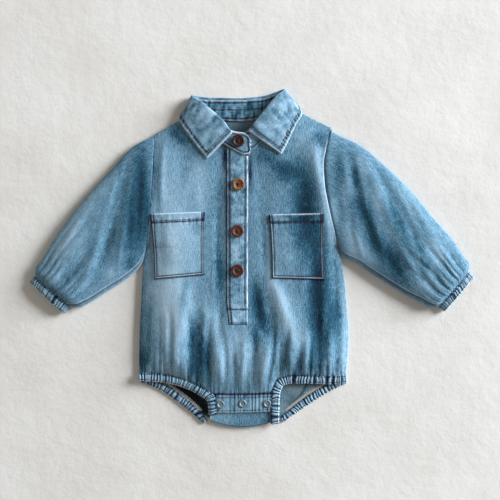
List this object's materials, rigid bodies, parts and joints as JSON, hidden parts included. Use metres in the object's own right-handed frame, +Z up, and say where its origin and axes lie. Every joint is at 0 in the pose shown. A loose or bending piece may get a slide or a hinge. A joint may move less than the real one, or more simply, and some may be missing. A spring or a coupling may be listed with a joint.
{
  "type": "baby's long-sleeved denim bodysuit laid flat",
  "caption": "Long-sleeved denim bodysuit for a baby, laid flat, with a shirt collar, half placket, chest pockets and gathered cuffs and leg openings.",
  "frame": {"origin": "middle of the garment's outline, on the surface it lies on", "axes": "+X towards the wearer's left sleeve, +Y towards the collar, +Z up from the surface, out of the front"},
  "size_m": [0.5342, 0.4074, 0.0179],
  "materials": {
    "washed_denim": "washed light blue denim",
    "denim_trim": "washed denim with pale worn seam edges and navy stitching",
    "coconut": "satin coconut shell",
    "snap_metal": "worn nickel"
  },
  "bodies": {
    "root": {"front_panel": "washed_denim", "back_panel": "washed_denim", "sleeve_right": "washed_denim", "sleeve_left": "washed_denim", "placket_over": "denim_trim", "placket_under": "denim_trim", "pocket_right": "denim_trim", "pocket_left": "denim_trim", "collar": "denim_trim", "collar_stand": "denim_trim", "crotch_band_front": "denim_trim", "cuff_right": "denim_trim", "cuff_left": "denim_trim", "leg_band_front_right": "denim_trim", "leg_band_front_left": "denim_trim", "leg_band_back_right": "denim_trim", "leg_band_back_left": "denim_trim", "button_1": "coconut", "button_2": "coconut", "button_3": "coconut", "button_4": "coconut", "snap_1": "snap_metal", "snap_2": "snap_metal", "snap_3": "snap_metal"}
  },
  "joints": []
}
